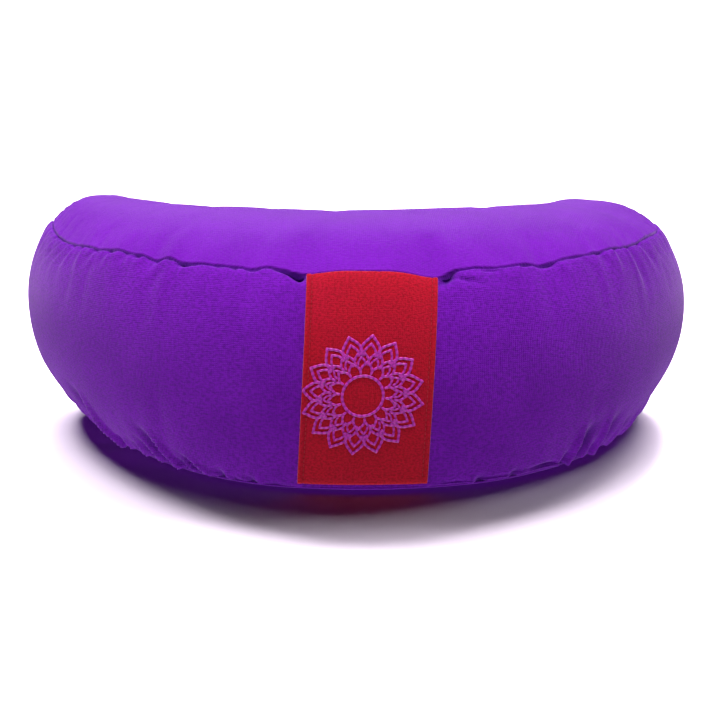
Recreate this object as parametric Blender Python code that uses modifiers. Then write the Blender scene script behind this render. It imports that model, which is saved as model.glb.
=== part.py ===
"""Crescent meditation cushion with an embroidered strap across its front.

The case is cut as a top panel, a bottom panel and a side band between them, all crescent
shaped in plan. It is filled tight, so it is one solid: the top is crowned, the band bulges
between its two seams, and the underside is flat where it rests on the floor. A folded cotton
strap lies on the band at the middle of the front, from the top seam to the bottom seam.

+Z is up and the convex front faces -Y. The origin is on the floor, under the middle of the
cushion's box. Sizes are in metres.
"""
import math
from collections import namedtuple

import bmesh
import bpy
from mathutils import Vector

NAME = "crescent_meditation_cushion"

# Each horn of the crescent ends in a round tip. x, y and radius give the tip's circle in plan,
# seam_rise is how much higher the top seam runs there than at the middle, crown is the height
# of the filling above the seam, tuck is how far the bottom seam is drawn in towards the middle
# of the horn, as a share of the way, and bulge is how far the band stands out past the seams.
Horn = namedtuple("Horn", "x y radius seam_rise crown tuck bulge")
LEFT_HORN = Horn(x=0.1764, y=0.0837, radius=0.0355, seam_rise=-0.0015, crown=0.0168,
                 tuck=0.46, bulge=0.0240)
RIGHT_HORN = Horn(x=0.1585, y=0.0824, radius=0.0450, seam_rise=-0.0050, crown=0.0148,
                  tuck=0.27, bulge=0.0252)

# Plan and heights at the middle of the crescent. The horns differ, so the whole is moved
# sideways a little to stand over the origin.
SHIFT_X = 0.0031
FRONT_Y = -0.1218           # top seam at the middle of the convex front
BACK_Y = 0.0422             # top seam at the deepest point of the bay behind
SEAM_HEIGHT = 0.1348        # top seam above the floor
CROWN = 0.0215              # top of the filling above the top seam
CROWN_POWER = 2.6           # how quickly the crown rises from the seam

# The band between the seams.
BULGE_MIDDLE = 0.0185       # how far it stands out past the seams
BULGE_POWER = 0.70          # below 1 gives the full, round swell of tight filling
BULGE_SKEW = 0.88           # below 1 moves the widest level down, above 1 moves it up
BULGE_SKEW_FRONT = 1.35     # the same at the middle of the front, whose foot stands nearly upright
BOTTOM_SEAM_MIDDLE = 0.003  # height of the bottom seam at the middle
BOTTOM_SEAM_TIP = 0.0115    # height of the bottom seam at the tips, which lift a little
TUCK_FRONT = -0.180         # the bottom seam lies further out than the top one at the front
TUCK_BACK = 0.0
TUCK_POWER = 1.5            # keeps that drawing-in to the foot of the band
FLOOR_RUN_MIDDLE = 0.20     # where the bottom panel levels out, as a share of its way in
FLOOR_RUN_TIP = 0.90
HORN_LIFT = 0.006           # how far the bottom panel stands off the floor under a horn's end

# Where the changes towards the horns start and end, as shares of the way to the tip.
TIP_FROM = 0.35
TIP_TO = 0.95
FRONT_TUCK_FROM = 0.11
FRONT_TUCK_TO = 0.73
SKEW_FROM = 0.15
SKEW_TO = 0.55
BACK_TUCK_FROM = 0.60
BACK_TUCK_TO = 1.0
LIFT_FROM = 0.62

# The strap on the band.
STRAP_WIDTH = 0.079
STRAP_THICK = 0.0016
STRAP_GAP = 0.0009          # clear space between the case and the strap
STRAP_TOP_X = 0.0021        # middle of its top end, before the sideways move
STRAP_FOOT_X = -0.0043      # middle of its lower end
STRAP_TOP_RUN = 0.985       # its ends, as shares of the way up the band
STRAP_FOOT_RUN = 0.05
VALLEY_DEPTH = 0.20         # share of the bulge that the taut strap presses flat
VALLEY_HALF_WIDTH = 0.050

# Mesh density.
HALF_STATIONS = 14          # from the middle of the crescent to one tip
BAND_RUNS = (0.0, 0.13, 0.32, 0.52, 0.72, 0.89, 1.0)
TOP_RUNS = (0.12, 0.32, 0.56, 0.80)
UNDER_RUNS = (0.68, 0.42, 0.22, 0.09)
SEAM_CREASE = 0.55
STRAP_COLUMNS = 10
STRAP_ROWS = 22

Finish = namedtuple("Finish", "name colour roughness")
CUSHION_COTTON = Finish("purple_cotton", (0.245, 0.035, 0.550, 1.0), 0.85)
STRAP_COTTON = Finish("red_cotton", (0.440, 0.022, 0.035, 1.0), 0.75)

Arc = namedtuple("Arc", "x y radius start end outward")
Station = namedtuple("Station", "point normal spine along share horn front")
Ring = namedtuple("Ring", "panel run")


def clear_scene():
    """Remove every object that is already in the scene."""
    for obj in list(bpy.data.objects):
        bpy.data.objects.remove(obj, do_unlink=True)


def ease(value, start=0.0, end=1.0):
    """Smooth step from 0 at start to 1 at end."""
    t = min(max((value - start) / (end - start), 0.0), 1.0)
    return t * t * (3.0 - 2.0 * t)


def blend(first, second, share):
    """Value between two values."""
    return first + (second - first) * share


def half_plan(horn):
    """Arcs of the front edge and the back edge from the middle to one tip, on the +X side.

    The outer arc passes through the middle of the front and touches the tip's circle inside.
    The bay's arc passes through the middle of the back and touches it outside.
    """
    rise = horn.y - FRONT_Y
    outer_r = (horn.x ** 2 + rise ** 2 - horn.radius ** 2) / (2.0 * (rise - horn.radius))
    outer_y = FRONT_Y + outer_r
    reach = horn.y - BACK_Y
    bay_r = (horn.x ** 2 + reach ** 2 - horn.radius ** 2) / (2.0 * (reach + horn.radius))
    bay_y = BACK_Y + bay_r
    touch_outer = math.atan2(horn.y - outer_y, horn.x)
    touch_bay = math.atan2(bay_y - horn.y, -horn.x)
    tip = (touch_outer + touch_bay) / 2.0
    front = (Arc(0.0, outer_y, outer_r, -math.pi / 2.0, touch_outer, 1.0),
             Arc(horn.x, horn.y, horn.radius, touch_outer, tip, 1.0))
    back = (Arc(0.0, bay_y, bay_r, -math.pi / 2.0, touch_bay - math.pi, -1.0),
            Arc(horn.x, horn.y, horn.radius, touch_bay, tip, 1.0))
    return front, back


def walk(arcs, share):
    """Point and outward normal at a share of the way along a chain of arcs."""
    lengths = [abs(arc.end - arc.start) * arc.radius for arc in arcs]
    distance = share * sum(lengths)
    for arc, length in zip(arcs, lengths):
        if distance <= length or arc is arcs[-1]:
            break
        distance -= length
    angle = blend(arc.start, arc.end, distance / length)
    direction = Vector((math.cos(angle), math.sin(angle), 0.0))
    return Vector((arc.x, arc.y, 0.0)) + direction * arc.radius, direction * arc.outward


def spine_at(horn, angle_share):
    """Point on the crescent's middle line, from the middle (0) to the horn's centre (1)."""
    middle_y = (FRONT_Y + BACK_Y) / 2.0
    rise = horn.y - middle_y
    radius = (horn.x ** 2 + rise ** 2) / (2.0 * rise)
    centre_y = middle_y + radius
    angle = math.atan2(horn.x, centre_y - horn.y) * angle_share
    return Vector((radius * math.sin(angle), centre_y - radius * math.cos(angle), 0.0))


def spine_share(horn, point):
    """Share of the middle line that lies level with a point of the edge."""
    middle_y = (FRONT_Y + BACK_Y) / 2.0
    rise = horn.y - middle_y
    centre_y = middle_y + (horn.x ** 2 + rise ** 2) / (2.0 * rise)
    full = math.atan2(horn.x, centre_y - horn.y)
    return math.atan2(point.x, centre_y - point.y) / full


def half_stations(horn, count):
    """Stations of the front and the back edge from the middle to just short of the tip."""
    front_arcs, back_arcs = half_plan(horn)
    front, back = [], []
    for index in range(count):
        share = index / (count - 0.5)
        ends = [walk(front_arcs, share), walk(back_arcs, share)]
        along = sum(spine_share(horn, point) for point, _ in ends) / 2.0
        along = min(along, 1.0)
        spine = spine_at(horn, along)
        for edge, (point, normal) in zip((front, back), ends):
            edge.append(Station(point, normal, spine, along, share, horn, edge is front))
    return front, back


def mirrored(station):
    """The same station on the -X side."""
    flip = Vector((-1.0, 1.0, 1.0))
    return station._replace(point=station.point * flip, normal=station.normal * flip,
                            spine=station.spine * flip)


def crescent_stations(count):
    """Front edge from the left tip to the right tip, and back edge in the same order."""
    left_front, left_back = half_stations(LEFT_HORN, count)
    right_front, right_back = half_stations(RIGHT_HORN, count)
    front = [mirrored(s) for s in reversed(left_front[1:])] + right_front
    back = [mirrored(s) for s in reversed(left_back[1:])] + right_back
    return front, back


def strap_middle(run):
    """X of the strap's middle line at a share of the way up the band."""
    return blend(STRAP_FOOT_X, STRAP_TOP_X, run)


def bulge_at(station, run):
    """How far the band stands out at a station, flatter where the strap presses on it."""
    skew = BULGE_SKEW
    if station.front:
        skew = blend(BULGE_SKEW_FRONT, BULGE_SKEW, ease(station.share, SKEW_FROM, SKEW_TO))
    swell = math.sin(math.pi * run ** skew) ** BULGE_POWER if 0.0 < run < 1.0 else 0.0
    if station.front:
        offset = (station.point.x - strap_middle(run)) / VALLEY_HALF_WIDTH
        swell *= 1.0 - VALLEY_DEPTH * math.exp(-offset ** 4)
    return blend(BULGE_MIDDLE, station.horn.bulge, ease(station.share, TIP_FROM, TIP_TO)) * swell


def case_point(station, ring):
    """Point of the case at one station on one ring."""
    horn = station.horn
    towards_tip = ease(station.share, TIP_FROM, TIP_TO)
    if station.front:
        tuck = blend(TUCK_FRONT, horn.tuck, ease(station.share, FRONT_TUCK_FROM, FRONT_TUCK_TO))
    else:
        tuck = blend(TUCK_BACK, horn.tuck, ease(station.share, BACK_TUCK_FROM, BACK_TUCK_TO))
    top_seam = SEAM_HEIGHT + horn.seam_rise * towards_tip
    bottom_seam = blend(BOTTOM_SEAM_MIDDLE, BOTTOM_SEAM_TIP, towards_tip)
    if ring.panel == "band":
        inset = tuck * (1.0 - ring.run) ** TUCK_POWER
        point = station.point.lerp(station.spine, inset)
        point += station.normal * bulge_at(station, ring.run)
        point.z = blend(bottom_seam, top_seam, ring.run)
    elif ring.panel == "top":
        point = station.point.lerp(station.spine, ring.run)
        crown = blend(CROWN, horn.crown, ease(station.along))
        point.z = top_seam + crown * (1.0 - (1.0 - ring.run) ** CROWN_POWER)
    else:
        point = station.point.lerp(station.spine, tuck + (1.0 - tuck) * ring.run)
        floor_run = blend(FLOOR_RUN_MIDDLE, FLOOR_RUN_TIP, towards_tip)
        lift = HORN_LIFT * ease(station.along, LIFT_FROM, 1.0)
        point.z = blend(lift, bottom_seam, max(1.0 - ring.run / floor_run, 0.0) ** 2)
    point.x += SHIFT_X
    return point


def make_material(finish):
    """Principled material with the finish's colour and roughness."""
    material = bpy.data.materials.new(finish.name)
    material.use_nodes = True
    shader = material.node_tree.nodes["Principled BSDF"]
    shader.inputs["Base Color"].default_value = finish.colour
    shader.inputs["Roughness"].default_value = finish.roughness
    shader.inputs["Metallic"].default_value = 0.0
    return material


def add_object(name, bm, finish, collection):
    """Make an object from a bmesh, smooth shaded, with its own material."""
    mesh = bpy.data.meshes.new(name)
    bm.to_mesh(mesh)
    bm.free()
    mesh.shade_smooth()
    mesh.materials.append(make_material(finish))
    obj = bpy.data.objects.new(name, mesh)
    collection.objects.link(obj)
    return obj


def add_subdivision(obj, levels):
    """Subdivision Surface modifier with equal viewport and render levels."""
    modifier = obj.modifiers.new("soften", "SUBSURF")
    modifier.levels = levels
    modifier.render_levels = levels


def build_cushion(collection):
    """The filled case: rings lofted from the underside to the crown, then subdivided."""
    front, back = crescent_stations(HALF_STATIONS)
    loop = front + list(reversed(back))
    rings = [Ring("under", run) for run in UNDER_RUNS]
    rings += [Ring("band", run) for run in BAND_RUNS]
    rings += [Ring("top", run) for run in TOP_RUNS]
    bm = bmesh.new()
    crease = bm.edges.layers.float.new("crease_edge")
    rows = [[bm.verts.new(case_point(s, ring)) for s in loop] for ring in rings]
    for lower, upper in zip(rows, rows[1:]):
        for i in range(len(loop)):
            j = (i + 1) % len(loop)
            bm.faces.new((lower[i], lower[j], upper[j], upper[i]))
    for row in (rows[0], rows[-1]):
        close_panel(bm, row, len(front))
    for ring, row in zip(rings, rows):
        if ring.panel == "band" and ring.run in (0.0, 1.0):
            for i in range(len(row)):
                bm.edges.get((row[i - 1], row[i]))[crease] = SEAM_CREASE
    bmesh.ops.recalc_face_normals(bm, faces=bm.faces)
    cushion = add_object("cushion", bm, CUSHION_COTTON, collection)
    add_subdivision(cushion, 1)
    return cushion


def close_panel(bm, row, front_count):
    """Fill a panel's innermost ring with quads from its front edge across to its back edge."""
    front = row[:front_count]
    back = row[:front_count - 1:-1]
    for i in range(front_count - 1):
        bm.faces.new((front[i], front[i + 1], back[i + 1], back[i]))


def front_station(x):
    """Station of the front edge at a given x near the middle."""
    horn = RIGHT_HORN if x >= 0.0 else LEFT_HORN
    outer = half_plan(horn)[0][0]
    angle = math.asin(abs(x) / outer.radius)
    share = angle * outer.radius / sum(abs(a.end - a.start) * a.radius for a in half_plan(horn)[0])
    point, normal = walk(half_plan(horn)[0], share)
    spine_to = spine_share(horn, point)
    station = Station(point, normal, spine_at(horn, spine_to), spine_to, share, horn, True)
    return station if x >= 0.0 else mirrored(station)


def strap_share(run):
    """Width of the strap in plan along the seam, as a share of its width on the band's face."""
    half = STRAP_WIDTH / 2.0
    ends = [case_point(front_station(strap_middle(run) + x), Ring("band", run)) for x in (-half, half)]
    return STRAP_WIDTH / (ends[1] - ends[0]).length


def build_strap(collection, cushion):
    """The strap: a strip laid on the front of the band, held just off it, then thickened."""
    bm = bmesh.new()
    rows = []
    for row in range(STRAP_ROWS + 1):
        run = blend(STRAP_FOOT_RUN, STRAP_TOP_RUN, row / STRAP_ROWS)
        verts = []
        for column in range(STRAP_COLUMNS + 1):
            across = (column / STRAP_COLUMNS - 0.5) * STRAP_WIDTH * strap_share(run)
            station = front_station(strap_middle(run) + across)
            verts.append(bm.verts.new(case_point(station, Ring("band", run))))
        rows.append(verts)
    for lower, upper in zip(rows, rows[1:]):
        for i in range(STRAP_COLUMNS):
            bm.faces.new((lower[i], lower[i + 1], upper[i + 1], upper[i]))
    strap = add_object("strap", bm, STRAP_COTTON, collection)
    wrap = strap.modifiers.new("lie_on_case", "SHRINKWRAP")
    wrap.target = cushion
    wrap.wrap_method = "NEAREST_SURFACEPOINT"
    wrap.wrap_mode = "ABOVE_SURFACE"
    wrap.offset = STRAP_GAP
    shell = strap.modifiers.new("thickness", "SOLIDIFY")
    shell.thickness = STRAP_THICK
    shell.offset = 1.0
    return strap


def main():
    """Build the cushion and its strap in a collection named for the object."""
    clear_scene()
    collection = bpy.data.collections.new(NAME)
    bpy.context.scene.collection.children.link(collection)
    cushion = build_cushion(collection)
    build_strap(collection, cushion)


main()
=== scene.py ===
"""Crescent meditation cushion: the dressed model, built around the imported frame.

The filled case is one closed mesh on the same cutting plan as the frame's solid. It gets its
seams, pleats and soft dents by moving points along their normals. The strap, its topstitching and
its embroidery are separate pieces that lie on the band's face.

Sizes are in metres. +Z is up and the convex front faces -Y.
"""

import logging
import math
from collections.abc import Callable
from dataclasses import dataclass, field, fields
from enum import Enum

import bpy
import numpy as np
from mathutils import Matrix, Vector


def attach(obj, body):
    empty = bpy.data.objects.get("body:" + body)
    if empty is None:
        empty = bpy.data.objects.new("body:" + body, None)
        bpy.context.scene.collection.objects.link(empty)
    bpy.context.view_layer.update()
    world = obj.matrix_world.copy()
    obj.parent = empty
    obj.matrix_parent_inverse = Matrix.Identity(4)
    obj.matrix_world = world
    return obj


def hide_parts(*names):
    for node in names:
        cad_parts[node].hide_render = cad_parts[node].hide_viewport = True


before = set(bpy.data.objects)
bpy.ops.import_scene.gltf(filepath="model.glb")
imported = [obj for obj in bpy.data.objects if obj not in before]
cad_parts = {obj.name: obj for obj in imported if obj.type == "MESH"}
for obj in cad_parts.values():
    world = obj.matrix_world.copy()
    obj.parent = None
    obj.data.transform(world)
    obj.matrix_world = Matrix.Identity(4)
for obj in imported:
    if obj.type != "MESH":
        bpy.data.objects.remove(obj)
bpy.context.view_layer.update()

LOG = logging.getLogger("cushion")
MM = 0.001
ROOT = "root"
# A distance from a seam that no pleat or dent reaches, for points off the band.
FAR = 1.0
# Third number of the places stored on the crescent panels. On the band and the strap it is 0.
PANEL_MARK = 0.5


def ease(value: np.ndarray, start: float = 0.0, end: float = 1.0) -> np.ndarray:
    """Smooth step from 0 at start to 1 at end."""
    t = np.clip((np.asarray(value, dtype=float) - start) / (end - start), 0.0, 1.0)
    return t * t * (3.0 - 2.0 * t)


def bell(value: np.ndarray, width: float, power: float = 2.0) -> np.ndarray:
    """Bump of height 1 at zero that falls off within about the given width."""
    return np.exp(-np.abs(np.asarray(value, dtype=float) / width) ** power)


def blend(first: np.ndarray, second: np.ndarray, share: np.ndarray) -> np.ndarray:
    """Value between two values."""
    return first + (second - first) * share


def graded(length: float, step: Callable[[np.ndarray], np.ndarray],
           open_end: bool = False) -> np.ndarray:
    """Positions from 0 to a length, whose spacing follows a step size that varies on the way.

    Args:
        length: How far the positions run.
        step: The wanted spacing at each position.
        open_end: Whether the row stops half a step short of the end.

    Returns:
        The positions, from 0 up.
    """
    at = np.linspace(0.0, length, 4001)
    rate = 1.0 / step(at)
    steps = np.concatenate([[0.0], np.cumsum((rate[1:] + rate[:-1]) / 2.0 * np.diff(at))])
    count = math.ceil(steps[-1])
    index = np.arange(count) / (count - 0.5) if open_end else np.arange(count + 1) / count
    return np.interp(index * steps[-1], steps, at)


def lattice_value(cell: np.ndarray, seed: int) -> np.ndarray:
    """Repeatable value from -1 to 1 for each whole-number cell corner."""
    mixed = cell[..., 0] * 374761393 + cell[..., 1] * 668265263 + cell[..., 2] * 2147483647
    mixed = (mixed + seed * 144665) & 0xFFFFFFFF
    mixed = ((mixed ^ (mixed >> 13)) * 1274126177) & 0xFFFFFFFF
    return ((mixed ^ (mixed >> 16)) & 0xFFFF) / 32767.5 - 1.0


def soft_noise(points: np.ndarray, size: float, seed: int) -> np.ndarray:
    """Smooth noise from -1 to 1 whose lumps are about the given size.

    Args:
        points: Places, three numbers each.
        size: Distance between lumps.
        seed: Which pattern to use.

    Returns:
        One value for each place.
    """
    scaled = np.asarray(points, dtype=float) / size
    base = np.floor(scaled)
    part = scaled - base
    part = part * part * (3.0 - 2.0 * part)
    base = base.astype(np.int64)
    total = np.zeros(scaled.shape[:-1])
    for corner in np.ndindex(2, 2, 2):
        weight = np.prod(np.where(np.array(corner) == 1, part, 1.0 - part), axis=-1)
        total += weight * lattice_value(base + np.array(corner), seed)
    return total


def line_noise(position: np.ndarray, size: float, seed: int) -> np.ndarray:
    """Smooth noise from -1 to 1 along a line."""
    position = np.asarray(position, dtype=float)
    level = np.full_like(position, 0.37 * size)
    return soft_noise(np.stack([position, np.zeros_like(position), level], axis=-1), size, seed)


@dataclass(frozen=True)
class Bump:
    """A rounded ridge along a line, or a groove where its height is less than zero."""

    at: float
    width: float
    height: float

    def over(self, distance: np.ndarray) -> np.ndarray:
        """Height at distances from the line that it's measured from."""
        return self.height * bell(distance - self.at, self.width)


@dataclass(frozen=True)
class Waves:
    """Soft unevenness: how far apart its lumps lie, which pattern, and how high they are."""

    size: float
    seed: int
    height: float

    def over(self, points: np.ndarray) -> np.ndarray:
        """Height at places, three numbers each."""
        return self.height * soft_noise(points, self.size, self.seed)


def length_along(points: np.ndarray) -> np.ndarray:
    """Distance along a line of points, from 0 at the first."""
    return np.concatenate([[0.0], np.cumsum(np.linalg.norm(np.diff(points, axis=0), axis=1))])


def tube_faces(rows: int, count: int, joined_up: bool = False) -> list[tuple[int, ...]]:
    """Quads between rows of points that each close on themselves.

    Args:
        rows: How many rows.
        count: Points in each row.
        joined_up: Whether the last row meets the first.

    Returns:
        Four indices for each face.
    """
    faces = []
    for row in range(rows if joined_up else rows - 1):
        low, high = row * count, (row + 1) % rows * count
        for i in range(count):
            j = (i + 1) % count
            faces.append((low + i, low + j, high + j, high + i))
    return faces


# ---------------------------------------------------------------- cutting plan


class Panel(Enum):
    """The three panels that the case is sewn from."""

    UNDER = 0
    BAND = 1
    TOP = 2


@dataclass(frozen=True)
class Arc:
    """Part of a circle in plan. outward is -1 where the case lies outside the circle."""

    x: float
    y: float
    radius: float
    start: float
    end: float
    outward: float

    @property
    def length(self) -> float:
        """Length along the arc."""
        return abs(self.end - self.start) * self.radius


@dataclass(frozen=True)
class Horn:
    """One end of the crescent: its round tip in plan, and how the filling shapes it."""

    x: float
    y: float
    radius: float
    seam_rise: float
    crown: float
    tuck: float
    bulge: float


@dataclass(frozen=True)
class Loop:
    """Stations along the case's edge, one entry for each.

    point and normal are on the top seam in plan, and spine is the place on the crescent's middle
    line that lies opposite. around is the distance along the seam from the middle of the front,
    less than zero on the left. share is the way from the middle to the tip.
    """

    point: np.ndarray
    normal: np.ndarray
    spine: np.ndarray
    along: np.ndarray
    share: np.ndarray
    around: np.ndarray
    front: np.ndarray
    seam_rise: np.ndarray
    crown: np.ndarray
    tuck: np.ndarray
    bulge: np.ndarray

    @property
    def settled(self) -> np.ndarray:
        """1, falling to 0 at the middle of the back, where around runs on from its other end."""
        return np.where(self.front > 0.5, 1.0, ease(self.share, 0.0, 0.08))

    def take(self, index: slice) -> "Loop":
        """The stations that an index picks out."""
        return Loop(**{item.name: getattr(self, item.name)[index] for item in fields(self)})


def joined(loops: list[Loop]) -> Loop:
    """Several rows of stations as one."""
    return Loop(**{item.name: np.concatenate([getattr(loop, item.name) for loop in loops])
                   for item in fields(Loop)})


def walk(arcs: tuple[Arc, Arc], share: np.ndarray) -> tuple[np.ndarray, np.ndarray]:
    """Points and outward normals at shares of the way along two arcs that join.

    Args:
        arcs: The two arcs, in order.
        share: How far along, from 0 to 1.

    Returns:
        Points and normals in plan.
    """
    first, last = arcs
    distance = share * (first.length + last.length)
    on_last = distance > first.length
    angle_first = blend(first.start, first.end, distance / first.length)
    angle_last = blend(last.start, last.end, (distance - first.length) / last.length)
    angle = np.where(on_last, angle_last, angle_first)
    centre = np.where(on_last[:, None], (last.x, last.y), (first.x, first.y))
    radius = np.where(on_last, last.radius, first.radius)
    outward = np.where(on_last, last.outward, first.outward)
    direction = np.stack([np.cos(angle), np.sin(angle)], axis=-1)
    return centre + direction * radius[:, None], direction * outward[:, None]


@dataclass(frozen=True)
class CrescentPlan:
    """The crescent's outline along the top seam, as arcs that touch each other."""

    left: Horn = Horn(x=0.1764, y=0.0837, radius=0.0355, seam_rise=-0.0015, crown=0.0168,
                      tuck=0.46, bulge=0.0240)
    right: Horn = Horn(x=0.1585, y=0.0824, radius=0.0450, seam_rise=-0.0050, crown=0.0148,
                       tuck=0.27, bulge=0.0252)
    front_y: float = -0.1218
    back_y: float = 0.0422

    def arcs(self, horn: Horn) -> tuple[tuple[Arc, Arc], tuple[Arc, Arc]]:
        """Arcs of the front edge and of the back edge, from the middle to one tip."""
        rise = horn.y - self.front_y
        outer = (horn.x ** 2 + rise ** 2 - horn.radius ** 2) / (2.0 * (rise - horn.radius))
        reach = horn.y - self.back_y
        bay = (horn.x ** 2 + reach ** 2 - horn.radius ** 2) / (2.0 * (reach + horn.radius))
        outer_y = self.front_y + outer
        bay_y = self.back_y + bay
        touch_outer = math.atan2(horn.y - outer_y, horn.x)
        touch_bay = math.atan2(bay_y - horn.y, -horn.x)
        tip = (touch_outer + touch_bay) / 2.0
        front = (Arc(0.0, outer_y, outer, -math.pi / 2.0, touch_outer, 1.0),
                 Arc(horn.x, horn.y, horn.radius, touch_outer, tip, 1.0))
        back = (Arc(0.0, bay_y, bay, -math.pi / 2.0, touch_bay - math.pi, -1.0),
                Arc(horn.x, horn.y, horn.radius, touch_bay, tip, 1.0))
        return front, back

    def spine_circle(self, horn: Horn) -> tuple[float, float, float]:
        """Radius and centre height of the middle line, and the angle it turns to the horn."""
        middle_y = (self.front_y + self.back_y) / 2.0
        rise = horn.y - middle_y
        radius = (horn.x ** 2 + rise ** 2) / (2.0 * rise)
        return radius, middle_y + radius, math.atan2(horn.x, middle_y + radius - horn.y)

    def station_row(self, horn: Horn, side: float, share: np.ndarray, front: bool,
                    ends: list[tuple[np.ndarray, np.ndarray]], around: np.ndarray) -> Loop:
        """Stations of one edge of one half.

        Args:
            horn: The horn at the end of that half.
            side: 1 on the right, -1 on the left.
            share: Shares of the way from the middle to the tip.
            front: Whether it is the front edge.
            ends: Points and normals of the edges to pair, this one first.
            around: Distance along the seam.

        Returns:
            The stations, on their own side.
        """
        radius, centre_y, full = self.spine_circle(horn)
        level = [np.arctan2(point[:, 0], centre_y - point[:, 1]) / full for point, _ in ends]
        along = np.minimum(sum(level) / len(level), 1.0)
        spine = np.stack([radius * np.sin(full * along), centre_y - radius * np.cos(full * along)],
                         axis=-1)
        flip = np.array([side, 1.0])
        same = np.ones_like(share)
        point, normal = ends[0]
        return Loop(point=point * flip, normal=normal * flip, spine=spine * flip, along=along,
                    share=share, around=around * side, front=np.full(share.shape, front),
                    seam_rise=same * horn.seam_rise, crown=same * horn.crown,
                    tuck=same * horn.tuck, bulge=same * horn.bulge)

    def loop(self, share: np.ndarray) -> Loop:
        """Stations all the way round: the front from left to right, then the back."""
        rows = {}
        for side, horn in ((-1.0, self.left), (1.0, self.right)):
            front_arcs, back_arcs = self.arcs(horn)
            front = walk(front_arcs, share)
            back = walk(back_arcs, share)
            front_length = sum(arc.length for arc in front_arcs)
            back_length = sum(arc.length for arc in back_arcs)
            rows[side] = (
                self.station_row(horn, side, share, True, [front, back], share * front_length),
                self.station_row(horn, side, share, False, [back, front],
                                 front_length + (1.0 - share) * back_length))
        backwards = slice(None, None, -1)
        return joined([rows[-1.0][0].take(slice(None, 0, -1)), rows[1.0][0],
                       rows[1.0][1].take(backwards), rows[-1.0][1].take(slice(1, None))])

    def front_at(self, x: np.ndarray) -> Loop:
        """Stations of the front edge at given x, near the middle."""
        rows = []
        for side, horn in ((-1.0, self.left), (1.0, self.right)):
            arcs = self.arcs(horn)[0]
            length = sum(arc.length for arc in arcs)
            distance = np.arcsin(np.abs(x) / arcs[0].radius) * arcs[0].radius
            row = walk(arcs, distance / length)
            rows.append(self.station_row(horn, side, distance / length, True, [row], distance))
        left = x < 0.0
        picked = {}
        for item in fields(Loop):
            first, last = (getattr(row, item.name) for row in rows)
            picked[item.name] = np.where(left[:, None] if first.ndim == 2 else left, first, last)
        return Loop(**picked)


@dataclass(frozen=True)
class SeamShift:
    """A place where the top seam runs off its even line.

    around is where, rise is how much higher it runs, and inner and outer are how far that reaches
    towards the middle and towards the horn.
    """

    around: float
    rise: float
    inner: float
    outer: float


# The seam is drawn down at the strap's two corners and steps up and down on its way to the horns,
# where one panel was eased onto the other in jumps. Each row: around, rise, inner, outer.
SEAM_SHIFTS = tuple(SeamShift(*row) for row in (
    (-0.0385, -0.0022, 0.014, 0.009),
    (-0.0610, 0.0011, 0.006, 0.005),
    (-0.0720, -0.0008, 0.004, 0.004),
    (-0.1000, 0.0007, 0.014, 0.016),
    (-0.1310, 0.0019, 0.006, 0.005),
    (-0.1410, -0.0008, 0.004, 0.004),
    (-0.1560, 0.0017, 0.009, 0.010),
    (-0.1740, 0.0022, 0.006, 0.012),
    (-0.2500, -0.0023, 0.034, 0.030),
    (0.0405, -0.0050, 0.017, 0.0095),
    (0.0830, -0.0011, 0.008, 0.012),
    (0.1115, -0.0025, 0.006, 0.008),
    (0.1240, -0.0010, 0.005, 0.004),
    (0.1750, 0.0012, 0.018, 0.020),
    (0.2320, 0.0018, 0.015, 0.030),
))


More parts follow.
